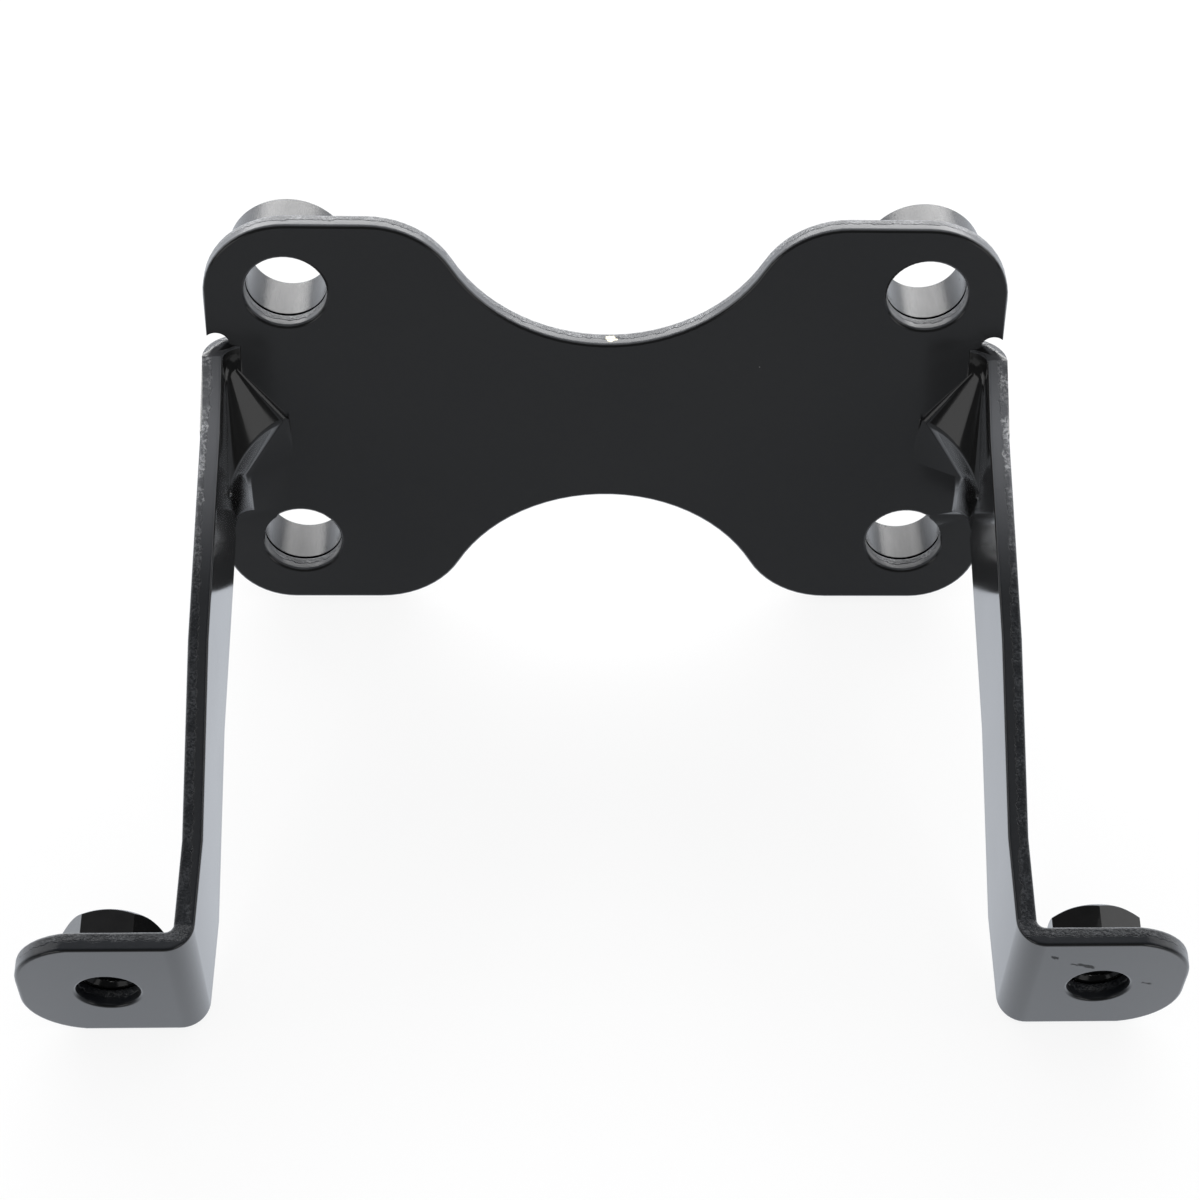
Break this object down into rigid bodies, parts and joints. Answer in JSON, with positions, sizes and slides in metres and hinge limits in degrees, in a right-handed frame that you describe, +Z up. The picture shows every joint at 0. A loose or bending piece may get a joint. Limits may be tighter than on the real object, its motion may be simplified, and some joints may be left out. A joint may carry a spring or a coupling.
{
  "type": "speedometer bracket",
  "caption": "Black folded-steel bracket with a butterfly-shaped plate, spacer collars behind its holes and slanted arms that end in drilled feet with weld nuts.",
  "frame": {"origin": "on the table, in the middle of the width and of the depth", "axes": "+Z up as it lies on its two lower collars and the lower edges of its feet, -Y to the front where the feet are, +X to the right"},
  "size_m": [0.1686, 0.106, 0.0672],
  "materials": {
    "black_paint": "gloss black paint on folded steel, light on the cut edges",
    "collar_paint": "gloss black paint on turned steel",
    "nut_paint": "gloss black paint on hex nuts"
  },
  "bodies": {
    "root": {"bracket": "black_paint", "collar_upper_left": "collar_paint", "collar_upper_right": "collar_paint", "collar_lower_left": "collar_paint", "collar_lower_right": "collar_paint", "weld_nut_left": "nut_paint", "weld_nut_right": "nut_paint"}
  },
  "joints": []
}
